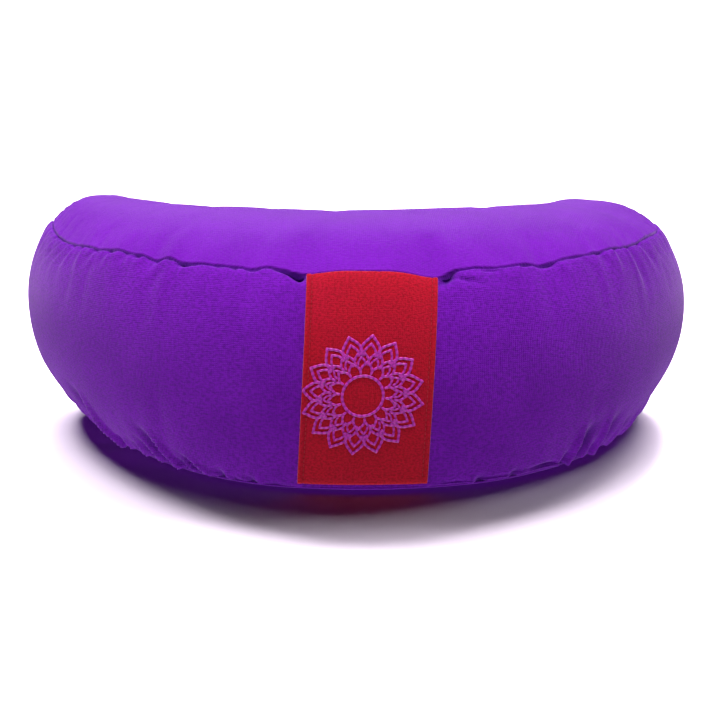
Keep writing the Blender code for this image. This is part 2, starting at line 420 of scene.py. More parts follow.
@dataclass(frozen=True)
class CaseShape:
    """Smooth shape of the filled case over its plan."""

    plan: CrescentPlan = CrescentPlan()
    shift_x: float = 0.0031
    seam_height: float = 0.1348
    crown: float = 0.0215
    crown_power: float = 2.6
    bulge_middle: float = 0.0185
    bulge_power: float = 0.70
    bulge_skew: float = 0.88
    bulge_skew_front: float = 1.35
    bottom_seam_middle: float = 0.003
    bottom_seam_tip: float = 0.0115
    tuck_front: float = -0.180
    tuck_back: float = 0.0
    tuck_power: float = 1.5
    floor_run_middle: float = 0.20
    floor_run_tip: float = 0.90
    horn_lift: float = 0.006
    tip_from: float = 0.35
    tip_to: float = 0.95
    front_tuck_from: float = 0.11
    front_tuck_to: float = 0.73
    skew_from: float = 0.15
    skew_to: float = 0.55
    back_tuck_from: float = 0.60
    back_tuck_to: float = 1.0
    lift_from: float = 0.62
    strap_top_x: float = 0.0021
    strap_foot_x: float = -0.0043
    valley_depth: float = 0.20
    valley_half_width: float = 0.047
    valley_power: float = 6.0

    def bulge(self, loop: Loop, run: np.ndarray) -> np.ndarray:
        """How far the band stands out past its seams, less where the strap presses."""
        inside = np.clip(run, 1e-9, 1.0 - 1e-9)
        outwards = np.where(loop.front, ease(loop.share, self.skew_from, self.skew_to), 1.0)
        skew = blend(self.bulge_skew_front, self.bulge_skew, outwards)
        swell = np.sin(np.pi * inside ** skew) ** self.bulge_power
        middle = blend(self.strap_foot_x, self.strap_top_x, run)
        valley = bell(loop.point[:, 0] - middle, self.valley_half_width, self.valley_power)
        swell = swell * (1.0 - self.valley_depth * valley * loop.front)
        full = blend(self.bulge_middle, loop.bulge, ease(loop.share, self.tip_from, self.tip_to))
        return full * swell

    def seam_shift(self, loop: Loop) -> np.ndarray:
        """How much higher the top seam runs than its even line."""
        total = np.zeros_like(loop.around)
        for row in SEAM_SHIFTS:
            offset = (loop.around - row.around) * math.copysign(1.0, row.around)
            width = np.where(offset < 0.0, row.inner, row.outer)
            total += row.rise * np.exp(-(offset / width) ** 2)
        wobble = 0.45 * line_noise(loop.around, 0.0075, 3)
        wobble += 0.30 * line_noise(loop.around, 0.0036, 5)
        return total + wobble * MM * loop.settled * ease(np.abs(loop.around), 0.041, 0.050)

    def ring(self, loop: Loop, panel: Panel, run: np.ndarray) -> np.ndarray:
        """Points of the case on one ring.

        Args:
            loop: The stations.
            panel: Which panel the ring is on.
            run: Share of the way up the band, or in from the seam to the middle line.

        Returns:
            One point for each station.
        """
        run = np.broadcast_to(np.asarray(run, dtype=float), loop.share.shape)
        towards_tip = ease(loop.share, self.tip_from, self.tip_to)
        tuck_front = blend(self.tuck_front, loop.tuck,
                           ease(loop.share, self.front_tuck_from, self.front_tuck_to))
        tuck_back = blend(self.tuck_back, loop.tuck,
                          ease(loop.share, self.back_tuck_from, self.back_tuck_to))
        tuck = np.where(loop.front, tuck_front, tuck_back)
        shift = self.seam_shift(loop)
        top_seam = self.seam_height + loop.seam_rise * towards_tip + shift
        bottom_seam = blend(self.bottom_seam_middle, self.bottom_seam_tip, towards_tip)
        if panel is Panel.BAND:
            inset = tuck * (1.0 - run) ** self.tuck_power
            flat = blend(loop.point, loop.spine, inset[:, None])
            flat = flat + loop.normal * self.bulge(loop, run)[:, None]
            height = blend(bottom_seam, top_seam, run)
        elif panel is Panel.TOP:
            flat = blend(loop.point, loop.spine, run[:, None])
            crown = blend(self.crown, loop.crown, ease(loop.along))
            height = top_seam - shift * ease(run, 0.0, 0.5)
            height = height + crown * (1.0 - (1.0 - run) ** self.crown_power)
        else:
            flat = blend(loop.point, loop.spine, (tuck + (1.0 - tuck) * run)[:, None])
            floor_run = blend(self.floor_run_middle, self.floor_run_tip, towards_tip)
            lift = self.horn_lift * ease(loop.along, self.lift_from, 1.0)
            height = blend(lift, bottom_seam, np.maximum(1.0 - run / floor_run, 0.0) ** 2)
        return np.concatenate([flat + (self.shift_x, 0.0), height[:, None]], axis=1)


# ---------------------------------------------------------------- mesh helpers


class Lit(Enum):
    """What a studio light falls on."""

    PIECES = "lit_pieces"
    FLOOR = "lit_floor"


def lit_group(what: Lit) -> bpy.types.Collection:
    """The group of objects that a light can be kept to."""
    return bpy.data.collections.get(what.value) or bpy.data.collections.new(what.value)


def steepest(grid: np.ndarray) -> np.ndarray:
    """Outward unit normals of a grid of points that closes on itself along its rows."""
    across = np.roll(grid, -1, axis=1) - np.roll(grid, 1, axis=1)
    upward = np.gradient(grid, axis=0)
    normal = np.cross(across, upward)
    return normal / np.maximum(np.linalg.norm(normal, axis=-1, keepdims=True), 1e-12)


def add_mesh(name: str, points: np.ndarray, faces: list[tuple[int, ...]]) -> bpy.types.Object:
    """New mesh object in the scene."""
    mesh = bpy.data.meshes.new(name)
    mesh.from_pydata(np.asarray(points).tolist(), [], faces)
    thing = bpy.data.objects.new(name, mesh)
    bpy.context.scene.collection.objects.link(thing)
    return thing


def make_piece(name: str, points: np.ndarray, faces: list[tuple[int, ...]],
               material: bpy.types.Material) -> bpy.types.Object:
    """Make a smooth mesh piece that rides on the object's body.

    Args:
        name: The piece's name.
        points: Its points.
        faces: Indices of each face's points.
        material: Its finish.

    Returns:
        The new object.
    """
    piece = add_mesh(name, points, faces)
    mesh = piece.data
    mesh.shade_smooth()
    mesh.materials.append(material)
    mesh.update()
    lit_group(Lit.PIECES).objects.link(piece)
    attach(piece, ROOT)
    LOG.info("%s: %d points, %d faces", name, len(mesh.vertices), len(mesh.polygons))
    return piece


def add_number(mesh: bpy.types.Mesh, name: str, values: np.ndarray) -> None:
    """Store one number for each point of a mesh."""
    layer = mesh.attributes.new(name=name, type="FLOAT", domain="POINT")
    layer.data.foreach_set("value", np.asarray(values, dtype=np.float32).ravel())


def add_places(mesh: bpy.types.Mesh, domain: str, places: np.ndarray) -> None:
    """Store where each point or face corner of a mesh lies on the flat cloth."""
    layer = mesh.attributes.new(name="cloth", type="FLOAT_VECTOR", domain=domain)
    layer.data.foreach_set("vector", places.astype(np.float32).ravel())


# ---------------------------------------------------------------- finishes


def colour(code: str) -> tuple[float, float, float, float]:
    """Linear colour of an sRGB hex code."""
    parts = [int(code[i:i + 2], 16) / 255.0 for i in (1, 3, 5)]
    linear = [c / 12.92 if c <= 0.04045 else ((c + 0.055) / 1.055) ** 2.4 for c in parts]
    return (linear[0], linear[1], linear[2], 1.0)


def add_node(tree: bpy.types.NodeTree, kind: str, settings: dict | None = None,
             links: dict | None = None) -> bpy.types.Node:
    """Add a node with its settings and links.

    Args:
        tree: The node tree.
        kind: The node's type name.
        settings: Properties by name, and unlinked inputs by name or number.
        links: Sockets that feed its inputs, by the input's name or number.

    Returns:
        The new node.
    """
    node = tree.nodes.new(kind)
    for key, value in (settings or {}).items():
        if isinstance(key, str) and hasattr(node, key):
            setattr(node, key, value)
        else:
            node.inputs[key].default_value = value
    for key, socket in (links or {}).items():
        tree.links.new(socket, node.inputs[key])
    return node


def start_material(name: str) -> tuple[bpy.types.Material, bpy.types.NodeTree, bpy.types.Node]:
    """New material with its tree and its shader."""
    material = bpy.data.materials.new(name)
    material.use_nodes = True
    tree = material.node_tree
    return material, tree, tree.nodes["Principled BSDF"]


@dataclass(frozen=True)
class WovenCotton:
    """Plain-woven cotton: matt, with a faint grid of threads, thick and thin in places.

    The fuzz of short fibres catches light where the cloth turns away, which the sheen gives.
    pitch is the spacing at which the threads are drawn. Real ones lie about 0.4 mm apart, too
    fine to show, so they are drawn coarser. streak is how many of those a thicker stretch of
    thread runs for, and speckle is how dark the gaps beside it are. calm is the share of that
    speckle evened out on panels that carry PANEL_MARK.
    """

    name: str
    base: str
    deep: str
    pale: str
    fuzz: str
    pitch: float
    relief: float
    sheen: float
    speckle: float
    streak: float = 2.4
    roughness: float = 0.85
    calm: float = 0.65

    def build(self) -> bpy.types.Material:
        """Make the material.

        Returns:
            The finished material.
        """
        material, tree, shader = start_material(self.name)
        cloth = add_node(tree, "ShaderNodeAttribute", {"attribute_name": "cloth"})
        # How much painted shade darkens each point of the cloth.
        painted_shade = add_node(tree, "ShaderNodeAttribute", {"attribute_name": "painted_shade"})
        grid = []
        streaks = []
        for number, direction in enumerate(("X", "Y")):
            grid.append(add_node(
                tree, "ShaderNodeTexWave",
                {"bands_direction": direction, "Scale": 2.0 * math.pi / self.pitch / 20.0,
                 "Distortion": 2.2, "Detail": 1.0, "Detail Scale": 0.35, "Detail Roughness": 0.6},
                {"Vector": cloth.outputs["Vector"]}))
            stretch = [1.0 / (1.1 * self.pitch)] * 3
            stretch[number] = 1.0 / (self.streak * self.pitch)
            drawn = add_node(tree, "ShaderNodeMapping", {"Scale": stretch},
                             {"Vector": cloth.outputs["Vector"]})
            streaks.append(add_node(
                tree, "ShaderNodeTexNoise", {"Scale": 1.0, "Detail": 2.0, "Roughness": 0.6},
                {"Vector": drawn.outputs["Vector"]}))
        weave = add_node(tree, "ShaderNodeMath", {"operation": "MULTIPLY"},
                         {0: grid[0].outputs["Fac"], 1: grid[1].outputs["Fac"]})
        slubs = add_node(tree, "ShaderNodeMix", {"data_type": "FLOAT", 0: 0.38},
                         {2: streaks[0].outputs["Fac"], 3: streaks[1].outputs["Fac"]})
        patches = add_node(tree, "ShaderNodeTexNoise",
                           {"Scale": 1.0 / 0.035, "Detail": 3.0, "Roughness": 0.55},
                           {"Vector": cloth.outputs["Vector"]})
        height = add_node(tree, "ShaderNodeMath", {"operation": "MULTIPLY_ADD", 1: 0.35},
                          {0: weave.outputs["Value"], 2: slubs.outputs[0]})
        bump = add_node(tree, "ShaderNodeBump", {"Strength": 0.8, "Distance": self.relief},
                        {"Height": height.outputs["Value"]})
        wear = add_node(tree, "ShaderNodeMapRange",
                        {"From Min": 0.35, "From Max": 0.68, "To Min": 0.0, "To Max": 1.0},
                        {"Value": patches.outputs["Fac"]})
        body = add_node(tree, "ShaderNodeMix",
                        {"data_type": "RGBA", 6: colour(self.base), 7: colour(self.pale)},
                        {0: wear.outputs["Result"]})
        speck = add_node(tree, "ShaderNodeMapRange",
                         {"From Min": 0.40, "From Max": 0.56,
                          "To Min": self.speckle, "To Max": 0.0},
                         {"Value": slubs.outputs[0]})
        which = add_node(tree, "ShaderNodeSeparateXYZ", {}, {"Vector": cloth.outputs["Vector"]})
        smooth = add_node(tree, "ShaderNodeMath",
                          {"operation": "MULTIPLY", 1: self.calm / PANEL_MARK},
                          {0: which.outputs["Z"]})
        faint = add_node(tree, "ShaderNodeMix", {"data_type": "FLOAT", 3: 0.5 * self.speckle},
                         {0: smooth.outputs["Value"], 2: speck.outputs["Result"]})
        speckled = add_node(tree, "ShaderNodeMix",
                            {"data_type": "RGBA", 7: colour(self.deep)},
                            {0: faint.outputs[0], 6: body.outputs[2]})
        # Painted shade: the deep colour is mixed in as shade in seams, creases, dents and
        # underneath.
        with_painted_shade = add_node(tree, "ShaderNodeMix",
                          {"data_type": "RGBA", 7: colour(self.deep)},
                          {0: painted_shade.outputs["Fac"], 6: speckled.outputs[2]})
        tree.links.new(with_painted_shade.outputs[2], shader.inputs["Base Color"])
        tree.links.new(bump.outputs["Normal"], shader.inputs["Normal"])
        shader.inputs["Roughness"].default_value = self.roughness
        shader.inputs["Specular IOR Level"].default_value = 0.14
        shader.inputs["Sheen Weight"].default_value = self.sheen
        shader.inputs["Sheen Roughness"].default_value = 0.40
        shader.inputs["Sheen Tint"].default_value = colour(self.fuzz)
        return material


@dataclass(frozen=True)
class SpunThread:
    """Thread laid in stitches: lustrous along each stitch, with painted shade where one passes
    under.

    pitch is how far apart the stitches lie along a line.
    """

    name: str
    base: str
    deep: str
    pitch: float
    gloss: float

    def build(self) -> bpy.types.Material:
        """Make the material.

        Returns:
            The finished material.
        """
        material, tree, shader = start_material(self.name)
        length = add_node(tree, "ShaderNodeAttribute", {"attribute_name": "length"})
        place = add_node(tree, "ShaderNodeCombineXYZ", {"Y": 0.0, "Z": 0.0},
                         {"X": length.outputs["Fac"]})
        stitch = add_node(tree, "ShaderNodeTexWave",
                          {"bands_direction": "X", "Scale": 2.0 * math.pi / self.pitch / 20.0,
                           "Distortion": 0.8, "Detail": 1.0, "Detail Scale": 0.4},
                          {"Vector": place.outputs["Vector"]})
        # Painted shade: the colour darkens once in every stitch, where the thread passes under.
        shade = add_node(tree, "ShaderNodeMapRange",
                         {"From Min": 0.1, "From Max": 0.7, "To Min": 0.55, "To Max": 0.0},
                         {"Value": stitch.outputs["Fac"]})
        tint = add_node(tree, "ShaderNodeMix",
                        {"data_type": "RGBA", 6: colour(self.base), 7: colour(self.deep)},
                        {0: shade.outputs["Result"]})
        bump = add_node(tree, "ShaderNodeBump", {"Strength": 0.6, "Distance": 0.15 * MM},
                        {"Height": stitch.outputs["Fac"]})
        tree.links.new(tint.outputs[2], shader.inputs["Base Color"])
        tree.links.new(bump.outputs["Normal"], shader.inputs["Normal"])
        shader.inputs["Roughness"].default_value = self.gloss
        shader.inputs["Specular IOR Level"].default_value = 0.30
        shader.inputs["Sheen Weight"].default_value = 0.10
        shader.inputs["Sheen Roughness"].default_value = 0.35
        shader.inputs["Sheen Tint"].default_value = colour(self.base)
        return material


# The deep colours of the cottons serve both for the gaps in the weave and for painted shade. Those
# of the threads serve only for painted shade.
CASE_COTTON = WovenCotton(name="woven_cotton_purple", base="#7b0cbc", deep="#440678",
                          pale="#8412c8", fuzz="#f2d2f6", pitch=1.2 * MM, relief=0.60 * MM,
                          sheen=0.25, speckle=0.52)
STRAP_COTTON = WovenCotton(name="woven_cotton_red", base="#d00e2e", deep="#8e061a",
                           pale="#cc0c34", fuzz="#f6d0c8", pitch=1.1 * MM, relief=0.40 * MM,
                           sheen=0.25, speckle=0.60, streak=1.6, roughness=0.80)
EMBROIDERY = SpunThread(name="satin_stitch_lilac", base="#cc34bc", deep="#7a1080",
                        pitch=3.2 * MM, gloss=0.36)
TOPSTITCHING = SpunThread(name="sewing_thread_red", base="#c01a30", deep="#6c0c18",
                          pitch=0.6 * MM, gloss=0.6)


# ---------------------------------------------------------------- the case


@dataclass(frozen=True)
class Pleat:
    """A soft fold in the band that starts at a seam.

    around is where it starts, reach is how far it runs from the seam, half_width is half the
    trough's width, and depth is how deep it is there. lean is how far it drifts along the seam
    on the way, and ridge is how far along the seam the ridge beside it lies.
    """

    around: float
    reach: float
    half_width: float
    depth: float
    lean: float
    ridge: float

    def height(self, around: np.ndarray, distance: np.ndarray) -> np.ndarray:
        """Height of the pleat: a trough with a softer ridge beside it, fading with distance."""
        way = np.clip(distance / self.reach, 0.0, 1.2)
        offset = around - (self.around + self.lean * way)
        spread = 0.75 + 0.5 * way
        trough = bell(offset, self.half_width * spread)
        ridge = bell(offset - self.ridge * spread, 0.55 * self.half_width * spread)
        return self.depth * (1.0 - ease(way, 0.30, 1.0)) * (0.60 * ridge - 0.70 * trough)


# Gathers under the top seam: fine ridges round the horns, slight hollows along the front.
# Each row: around, reach, half_width, depth, lean, ridge.
TOP_PLEATS = tuple(Pleat(*row) for row in (
    (-0.060, 0.012, 0.0070, 0.0005, 0.000, -0.009),
    (-0.083, 0.014, 0.0050, 0.0005, -0.002, -0.007),
    (-0.108, 0.016, 0.0060, 0.0007, -0.004, -0.008),
    (-0.128, 0.026, 0.0062, 0.0013, -0.012, -0.008),
    (-0.146, 0.012, 0.0045, 0.0009, -0.004, -0.006),
    (-0.166, 0.013, 0.0050, 0.0011, -0.006, 0.006),
    (-0.184, 0.015, 0.0036, 0.0012, -0.008, 0.005),
    (-0.200, 0.017, 0.0036, 0.0012, -0.009, 0.005),
    (-0.217, 0.022, 0.0038, 0.0013, -0.006, 0.005),
    (-0.229, 0.024, 0.0034, 0.0012, -0.016, 0.005),
    (-0.240, 0.026, 0.0034, 0.0012, -0.024, 0.005),
    (-0.252, 0.028, 0.0036, 0.0012, -0.032, 0.005),
    (-0.267, 0.030, 0.0038, 0.0011, -0.036, 0.005),
    (-0.285, 0.026, 0.0042, 0.0011, -0.026, 0.006),
    (-0.306, 0.024, 0.0045, 0.0011, -0.012, 0.006),
    (-0.331, 0.020, 0.0045, 0.0012, 0.000, 0.006),
    (-0.354, 0.023, 0.0045, 0.0011, 0.004, 0.006),
    (-0.379, 0.019, 0.0050, 0.0011, 0.004, 0.007),
    (0.075, 0.014, 0.0070, 0.0006, 0.002, 0.009),
    (0.101, 0.012, 0.0050, 0.0005, 0.002, 0.007),
    (0.119, 0.018, 0.0070, 0.0010, 0.003, 0.009),
    (0.145, 0.014, 0.0045, 0.0008, 0.004, 0.006),
    (0.164, 0.015, 0.0042, 0.0009, 0.004, 0.006),
    (0.181, 0.022, 0.0040, 0.0011, 0.004, -0.005),
    (0.198, 0.038, 0.0044, 0.0015, 0.008, -0.006),
    (0.215, 0.030, 0.0040, 0.0014, 0.018, -0.006),
    (0.231, 0.030, 0.0038, 0.0013, 0.022, -0.005),
    (0.246, 0.026, 0.0040, 0.0012, 0.022, -0.006),
    (0.263, 0.024, 0.0042, 0.0011, 0.016, -0.006),
    (0.281, 0.022, 0.0045, 0.0011, 0.010, -0.006),
    (0.302, 0.022, 0.0045, 0.0012, 0.004, -0.006),
    (0.324, 0.018, 0.0045, 0.0011, -0.001, -0.006),
    (0.348, 0.021, 0.0045, 0.0012, -0.004, -0.006),
    (0.372, 0.018, 0.0045, 0.0011, -0.004, -0.006),
    (0.399, 0.019, 0.0050, 0.0011, 0.000, -0.007),
))

# Heavier folds above the bottom seam, drawn out towards the horns. Rows as above.
FOOT_PLEATS = tuple(Pleat(*row) for row in (
    (-0.070, 0.007, 0.0037, 0.0026, -0.004, 0.005),
    (-0.090, 0.009, 0.0034, 0.0030, -0.006, 0.005),
    (-0.104, 0.016, 0.0037, 0.0041, -0.024, 0.005),
    (-0.116, 0.012, 0.0032, 0.0034, -0.012, 0.004),
    (-0.130, 0.034, 0.0046, 0.0056, -0.031, 0.007),
    (-0.144, 0.022, 0.0039, 0.0037, -0.020, 0.005),
    (-0.160, 0.014, 0.0039, 0.0034, -0.010, 0.005),
    (-0.178, 0.014, 0.0046, 0.0034, -0.010, 0.006),
    (-0.194, 0.050, 0.0063, 0.0079, -0.042, 0.012),
    (-0.224, 0.030, 0.0057, 0.0045, -0.022, 0.008),
    (-0.252, 0.028, 0.0063, 0.0045, -0.014, 0.008),
    (-0.284, 0.026, 0.0069, 0.0045, -0.006, 0.009),
    (-0.318, 0.028, 0.0069, 0.0049, 0.000, 0.009),
    (-0.352, 0.026, 0.0069, 0.0045, 0.006, 0.009),
    (-0.388, 0.024, 0.0069, 0.0037, 0.004, 0.009),
    (-0.440, 0.020, 0.0080, 0.0030, 0.004, 0.010),
    (0.067, 0.008, 0.0046, 0.0022, 0.003, -0.006),
    (0.090, 0.009, 0.0039, 0.0022, 0.004, -0.005),
    (0.129, 0.014, 0.0039, 0.0034, 0.006, -0.005),
    (0.1415, 0.036, 0.0051, 0.0060, 0.013, -0.008),
    (0.155, 0.016, 0.0039, 0.0030, 0.006, -0.005),
    (0.168, 0.038, 0.0053, 0.0056, 0.010, -0.008),
    (0.188, 0.026, 0.0057, 0.0045, 0.012, -0.007),
    (0.214, 0.032, 0.0063, 0.0049, 0.012, -0.008),
    (0.246, 0.028, 0.0069, 0.0045, 0.008, -0.009),
    (0.282, 0.028, 0.0069, 0.0049, 0.004, -0.009),
    (0.318, 0.026, 0.0069, 0.0045, 0.000, -0.009),
    (0.354, 0.026, 0.0069, 0.0041, -0.004, -0.009),
    (0.398, 0.022, 0.0075, 0.0034, -0.004, -0.009),
))


@dataclass(frozen=True)
class Hollow:
    """A dent in the band close to a seam.

    around and off are its middle, along the seam and away from it. wide and high are its half
    sizes, and slope is how much further off it runs for each metre along the seam.
    """

    around: float
    off: float
    wide: float
    high: float
    depth: float
    slope: float

    def dent(self, around: np.ndarray, away: np.ndarray, power: float = 2.0) -> np.ndarray:
        """Depth of the dent at places along the seam and away from it."""
        offset = around - self.around
        drop = self.off + self.slope * offset
        return self.depth * bell(offset, self.wide, power) * bell(away - drop, self.high)


# Dents beside the strap's corners, then nicks where the band was caught up in the stitching.
# Each row: around, off, wide, high, depth, slope.
TOP_HOLLOWS = tuple(Hollow(*row) for row in (
    (-0.0418, 0.0024, 0.0042, 0.0030, 0.0062, 0.10),
    (-0.0480, 0.0014, 0.0080, 0.0016, 0.0030, 0.06),
    (0.0465, 0.0028, 0.0060, 0.0036, 0.0052, -0.05),
    (0.0585, 0.0080, 0.0080, 0.0015, 0.0016, 0.35),
    (-0.0710, 0.0012, 0.0040, 0.0011, 0.0013, 0.00),
    (-0.0830, 0.0010, 0.0028, 0.0010, 0.0008, 0.00),
    (-0.0940, 0.0010, 0.0022, 0.0009, 0.0009, 0.00),
    (-0.1180, 0.0014, 0.0050, 0.0017, 0.0024, -0.12),
    (-0.1385, 0.0013, 0.0038, 0.0013, 0.0017, -0.10),
    (-0.1570, 0.0014, 0.0042, 0.0014, 0.0018, -0.10),
    (-0.1810, 0.0015, 0.0035, 0.0015, 0.0019, -0.10),
    (-0.1980, 0.0013, 0.0032, 0.0012, 0.0014, -0.10),
    (-0.2180, 0.0012, 0.0030, 0.0012, 0.0012, -0.10),
    (-0.2330, 0.0011, 0.0028, 0.0011, 0.0011, -0.10),
    (0.0740, 0.0024, 0.0060, 0.0010, 0.0012, 0.00),
    (0.1000, 0.0010, 0.0028, 0.0010, 0.0009, 0.00),
    (0.1175, 0.0013, 0.0065, 0.0014, 0.0020, 0.05),
    (0.1400, 0.0010, 0.0028, 0.0009, 0.0008, 0.00),
    (0.1630, 0.0012, 0.0060, 0.0011, 0.0010, 0.05),
    (0.1960, 0.0012, 0.0032, 0.0011, 0.0013, 0.10),
    (0.2130, 0.0012, 0.0030, 0.0012, 0.0013, 0.10),
    (0.2300, 0.0011, 0.0030, 0.0011, 0.0012, 0.10),
))

# Faint creases on the top of each horn, where the filling pushed the panel outwards.
HORN_CREASES = tuple(Hollow(*row) for row in (
    (-0.3300, 0.0100, 0.0850, 0.0012, 0.0007, -0.02),
    (-0.3450, 0.0160, 0.0800, 0.0014, 0.0008, -0.03),
    (-0.3100, 0.0215, 0.0700, 0.0016, 0.0006, -0.03),
    (0.3300, 0.0120, 0.0800, 0.0014, 0.0006, 0.02),
    (0.3150, 0.0190, 0.0700, 0.0016, 0.0005, 0.02),
))

# A crease where the band is folded over the bottom seam, and a few nicks in that seam.
FOOT_HOLLOWS = tuple(Hollow(*row) for row in (
    (0.1150, 0.0038, 0.0110, 0.0016, 0.0024, 0.02),
    (0.0790, 0.0028, 0.0160, 0.0010, 0.0010, 0.02),
    (0.0500, 0.0026, 0.0100, 0.0009, 0.0009, 0.00),
    (-0.0560, 0.0018, 0.0060, 0.0012, 0.0010, 0.00),
    (-0.0830, 0.0020, 0.0040, 0.0014, 0.0014, -0.20),
))


@dataclass(frozen=True)
class FillingPress:
    """How the filling presses the cloth out between its seams, from a cloth simulation.

    The cloth is a coarse copy of the case, held at its seams, on the floor and under the strap.
    It is cut slightly too large, so it wrinkles where it is held. spacing is how far apart its
    points lie, pressure is the filling's, spare is how much too large the cloth is, and cap is
    how far a point may move. The case's own shape is swollen already, and a firm filling
    smooths most wrinkles out: swelling and wrinkling are the shares that are kept.
    """

    spacing: float = 6.0 * MM
    pressure: float = 4.0
    spare: float = 0.025
    cap: float = 7.0 * MM
    swelling: float = 0.03
    wrinkling: float = 0.18
    frames: int = 20
    evenings: int = 12
    quality: int = 5
    mass: float = 0.3
    bending: float = 0.3

    def picked(self, places: np.ndarray, kept: tuple[int, ...]) -> np.ndarray:
        """Indices of places at least the spacing apart, and the ones that must be kept."""
        chosen = [0]
        for index in range(1, len(places)):
            if index in kept or abs(places[index] - places[chosen[-1]]) >= self.spacing:
                chosen.append(index)
        return np.array(chosen)

    def simulate(self, points: np.ndarray, held: np.ndarray) -> np.ndarray:
        """Run the cloth and return where its points end.

        Args:
            points: The cloth's points, by ring and station.
            held: Which of them can't move.

        Returns:
            The points after the last frame, in the same order.
        """
        scene = bpy.context.scene
        cloth = add_mesh("press_cloth", points.reshape(-1, 3), tube_faces(*points.shape[:2]))
        mesh = cloth.data
        pins = cloth.vertex_groups.new(name="held")
        pins.add(np.flatnonzero(held).tolist(), 1.0, "REPLACE")
        modifier = cloth.modifiers.new("press", "CLOTH")
        modifier.settings.quality = self.quality
        modifier.settings.mass = self.mass
        modifier.settings.bending_stiffness = self.bending
        modifier.settings.vertex_group_mass = pins.name
        modifier.settings.use_pressure = True
        modifier.settings.uniform_pressure_force = self.pressure
        modifier.settings.shrink_min = -self.spare
        modifier.settings.effector_weights.gravity = 0.0
        modifier.point_cache.frame_end = self.frames
        for frame_number in range(1, self.frames + 1):
            scene.frame_set(frame_number)
        result = cloth.evaluated_get(bpy.context.evaluated_depsgraph_get())
        places = np.empty(len(mesh.vertices) * 3, dtype=np.float32)
        result.data.vertices.foreach_get("co", places)
        scene.frame_set(1)
        bpy.data.objects.remove(cloth)
        bpy.data.meshes.remove(mesh)
        return places.reshape(points.shape).astype(float)

    def evened(self, values: np.ndarray) -> np.ndarray:
        """Values averaged over a few neighbours each way, round the loop and between rings."""
        for _ in range(self.evenings):
            beside = np.roll(values, 1, axis=1) + np.roll(values, -1, axis=1)
            values = 0.5 * values + 0.25 * beside
            padded = np.pad(values, ((1, 1), (0, 0)), mode="edge")
            values = 0.5 * values + 0.25 * (padded[:-2] + padded[2:])
        return values

    def push(self, grid: np.ndarray, held: np.ndarray, seams: tuple[int, ...]) -> np.ndarray:
        """How far the filling pushes each point out.

        Args:
            grid: The case's points, by ring and station.
            held: Which of the points can't move.
            seams: The rings that are seams.

        Returns:
            The push along the normal, by ring and station.
        """
        along = length_along(grid[:, 0])
        rings = self.picked(along, seams + (len(along) - 1,))
        run = length_along(grid[seams[-1]])
        stations = self.picked(run, ())
        coarse = grid[np.ix_(rings, stations)]
        ended = self.simulate(coarse, held[np.ix_(rings, stations)])
        out = np.sum((ended - coarse) * steepest(coarse), axis=-1)
        out = np.clip(out, -self.cap, self.cap)
        even = self.evened(out)
        wanted = self.wrinkling * (out - even) + self.swelling * even
        LOG.info("filling: %d cloth points, up to %.1f mm", out.size, 1000.0 * np.abs(out).max())
        every_ring, every_station = np.arange(len(along)), np.arange(len(run))
        by_ring = np.array([np.interp(every_ring, rings, column) for column in wanted.T]).T
        ends = np.append(stations, len(run))
        return np.array([np.interp(every_station, ends, np.append(row, row[0]))
                         for row in by_ring])


